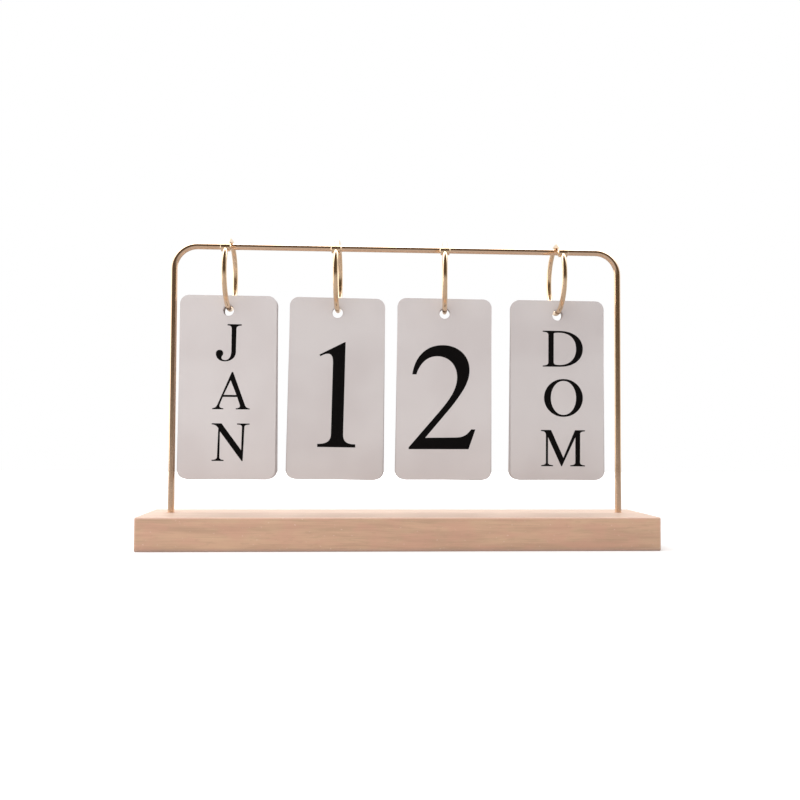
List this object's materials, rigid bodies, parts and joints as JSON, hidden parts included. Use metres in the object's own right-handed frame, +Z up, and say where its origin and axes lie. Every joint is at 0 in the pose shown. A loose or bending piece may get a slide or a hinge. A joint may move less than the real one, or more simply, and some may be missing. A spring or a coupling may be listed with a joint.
{
  "type": "perpetual desk calendar",
  "caption": "Wooden plank with a bent wire frame, and hinged book rings on its bar that hold packs of rounded date cards.",
  "frame": {"origin": "centre of the plank's underside", "axes": "+X along the plank to the viewer's right, +Y to the back, +Z up"},
  "size_m": [0.28, 0.06, 0.1726],
  "materials": {
    "plank_wood": "fine-grained pale wood, sanded and unvarnished",
    "frame_brass": "polished brass-coloured plating on steel wire",
    "ring_brass": "polished brass-coloured plating on steel wire",
    "card": "smooth uncoated pale grey card with near-black print"
  },
  "bodies": {
    "stand": {"base_plank": "plank_wood", "frame_wire": "frame_brass"},
    "month_ring": {"month_ring_hanging_half": "ring_brass", "month_ring_rivet": "ring_brass"},
    "month_gate": {"month_ring_gate_half": "ring_brass"},
    "month_pack": {"month_card_02": "card", "month_card_03": "card", "month_card_04": "card", "month_card_05": "card", "month_card_06": "card", "month_card_07": "card", "month_card_08": "card", "month_card_09": "card", "month_card_10": "card", "month_card_11": "card", "month_card_12": "card"},
    "month_front_card": {"month_card_01": "card"},
    "tens_ring": {"tens_ring_hanging_half": "ring_brass", "tens_ring_rivet": "ring_brass"},
    "tens_gate": {"tens_ring_gate_half": "ring_brass"},
    "tens_pack": {"tens_card_02": "card", "tens_card_03": "card", "tens_card_04": "card"},
    "tens_front_card": {"tens_card_01": "card"},
    "units_ring": {"units_ring_hanging_half": "ring_brass", "units_ring_rivet": "ring_brass"},
    "units_gate": {"units_ring_gate_half": "ring_brass"},
    "units_pack": {"units_card_02": "card", "units_card_03": "card", "units_card_04": "card", "units_card_05": "card", "units_card_06": "card", "units_card_07": "card", "units_card_08": "card", "units_card_09": "card", "units_card_10": "card"},
    "units_front_card": {"units_card_01": "card"},
    "weekday_ring": {"weekday_ring_hanging_half": "ring_brass", "weekday_ring_rivet": "ring_brass"},
    "weekday_gate": {"weekday_ring_gate_half": "ring_brass"},
    "weekday_pack": {"weekday_card_02": "card", "weekday_card_03": "card", "weekday_card_04": "card", "weekday_card_05": "card", "weekday_card_06": "card", "weekday_card_07": "card"},
    "weekday_front_card": {"weekday_card_01": "card"}
  },
  "joints": [
    {"name": "month_ring_slide", "type": "slide", "parent": "stand", "child": "month_ring", "axis": [1, 0, 0], "range_m": [-0.0012, 0.0035]},
    {"name": "month_gate_hinge", "type": "hinge", "parent": "month_ring", "child": "month_gate", "pos_m": [-0.09673, -0.00839, 0.16483], "axis": [0.9983, -0.0576, 0], "range_deg": [-50, 0]},
    {"name": "month_pack_swing", "type": "hinge", "parent": "month_gate", "child": "month_pack", "pos_m": [-0.0959, 0.006, 0.15185], "axis": [-0.9983, 0.0576, 0], "range_deg": [-12, 12]},
    {"name": "month_card_flip", "type": "hinge", "parent": "month_pack", "child": "month_front_card", "pos_m": [-0.0959, 0.006, 0.15185], "axis": [-0.9983, 0.0576, 0], "range_deg": [0, 100]},
    {"name": "tens_ring_slide", "type": "slide", "parent": "stand", "child": "tens_ring", "axis": [1, 0, 0], "range_m": [-0.0035, 0.005]},
    {"name": "tens_gate_hinge", "type": "hinge", "parent": "tens_ring", "child": "tens_gate", "pos_m": [-0.03596, -0.00838, 0.16483], "axis": [0.9973, -0.0732, 0], "range_deg": [-50, 0]},
    {"name": "tens_pack_swing", "type": "hinge", "parent": "tens_gate", "child": "tens_pack", "pos_m": [-0.0349, 0.006, 0.15185], "axis": [-0.9973, 0.0732, 0], "range_deg": [-12, 12]},
    {"name": "tens_card_flip", "type": "hinge", "parent": "tens_pack", "child": "tens_front_card", "pos_m": [-0.0349, 0.006, 0.15185], "axis": [-0.9973, 0.0732, 0], "range_deg": [0, 100]},
    {"name": "units_ring_slide", "type": "slide", "parent": "stand", "child": "units_ring", "axis": [1, 0, 0], "range_m": [-0.005, 0.008]},
    {"name": "units_gate_hinge", "type": "hinge", "parent": "units_ring", "child": "units_gate", "pos_m": [0.02487, -0.00835, 0.16483], "axis": [0.9951, -0.0993, 0], "range_deg": [-50, 0]},
    {"name": "units_pack_swing", "type": "hinge", "parent": "units_gate", "child": "units_pack", "pos_m": [0.0263, 0.006, 0.15185], "axis": [-0.9951, 0.0993, 0], "range_deg": [-12, 12]},
    {"name": "units_card_flip", "type": "hinge", "parent": "units_pack", "child": "units_front_card", "pos_m": [0.0263, 0.006, 0.15185], "axis": [-0.9951, 0.0993, 0], "range_deg": [0, 100]},
    {"name": "weekday_ring_slide", "type": "slide", "parent": "stand", "child": "weekday_ring", "axis": [1, 0, 0], "range_m": [-0.008, 0.005]},
    {"name": "weekday_gate_hinge", "type": "hinge", "parent": "weekday_ring", "child": "weekday_gate", "pos_m": [0.09158, -0.00842, 0.16483], "axis": [0.9999, 0.0122, 0], "range_deg": [-50, 0]},
    {"name": "weekday_pack_swing", "type": "hinge", "parent": "weekday_gate", "child": "weekday_pack", "pos_m": [0.0914, 0.006, 0.15185], "axis": [-0.9999, -0.0122, 0], "range_deg": [-12, 12]},
    {"name": "weekday_card_flip", "type": "hinge", "parent": "weekday_pack", "child": "weekday_front_card", "pos_m": [0.0914, 0.006, 0.15185], "axis": [-0.9999, -0.0122, 0], "range_deg": [0, 100]}
  ]
}
